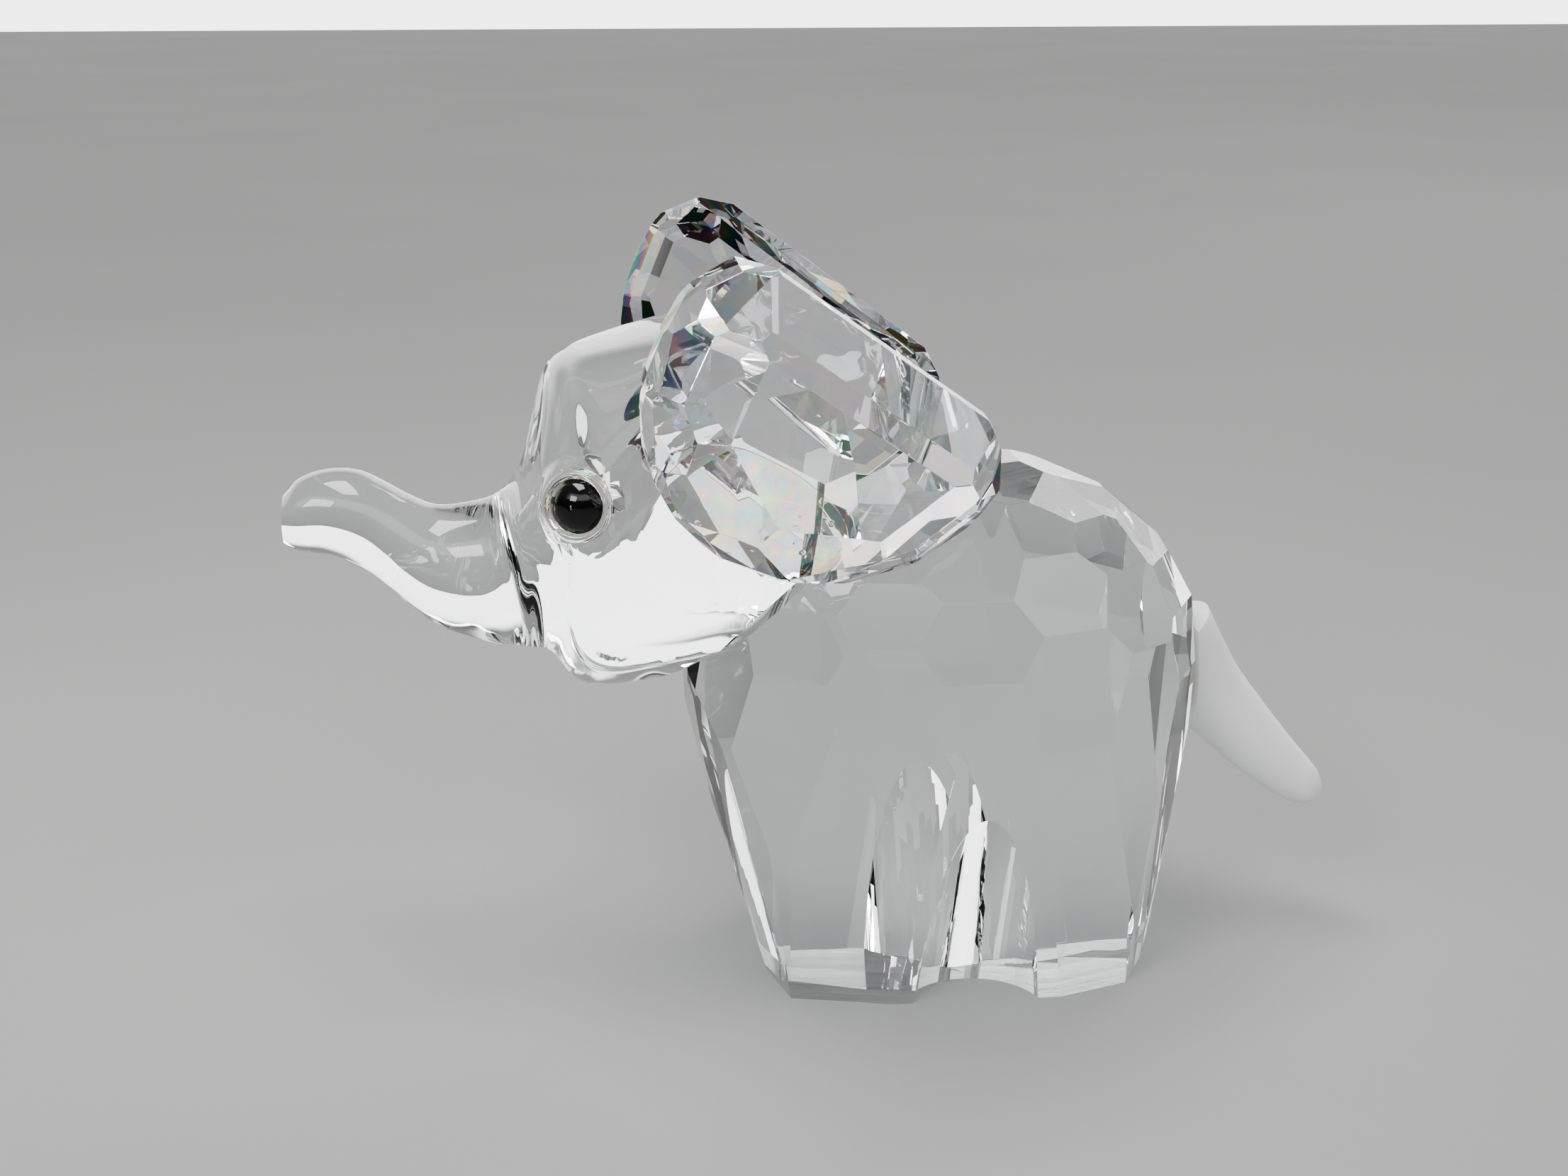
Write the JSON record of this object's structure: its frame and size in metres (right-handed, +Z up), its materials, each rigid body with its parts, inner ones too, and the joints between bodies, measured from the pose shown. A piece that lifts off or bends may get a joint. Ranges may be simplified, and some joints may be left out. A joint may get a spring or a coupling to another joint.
{
  "type": "crystal elephant figurine",
  "caption": "Cut-crystal baby elephant figurine with raised trunk, large faceted ears, frosted tail and black glass eyes, for standing on a shelf as an ornament.",
  "frame": {"origin": "middle of the flat foot, on the ground plane", "axes": "-X the way the elephant faces, -Y its left flank, +Z up"},
  "size_m": [0.0493, 0.0268, 0.0354],
  "materials": {
    "crystal": "clear lead crystal, polished facets",
    "frosted_crystal": "clear crystal frosted by acid etching",
    "black_glass": "opaque black glass, fire polished",
    "adhesive": "clear cured optical adhesive, faintly yellow"
  },
  "bodies": {
    "root": {"body": "crystal", "head": "crystal", "ear_left": "crystal", "ear_right": "crystal", "tail": "frosted_crystal", "eye_left": "black_glass", "eye_right": "black_glass", "neck_bond": "adhesive", "ear_bond_left": "adhesive", "ear_bond_right": "adhesive", "tail_bond": "adhesive", "eye_bond_left": "adhesive", "eye_bond_right": "adhesive"}
  },
  "joints": []
}
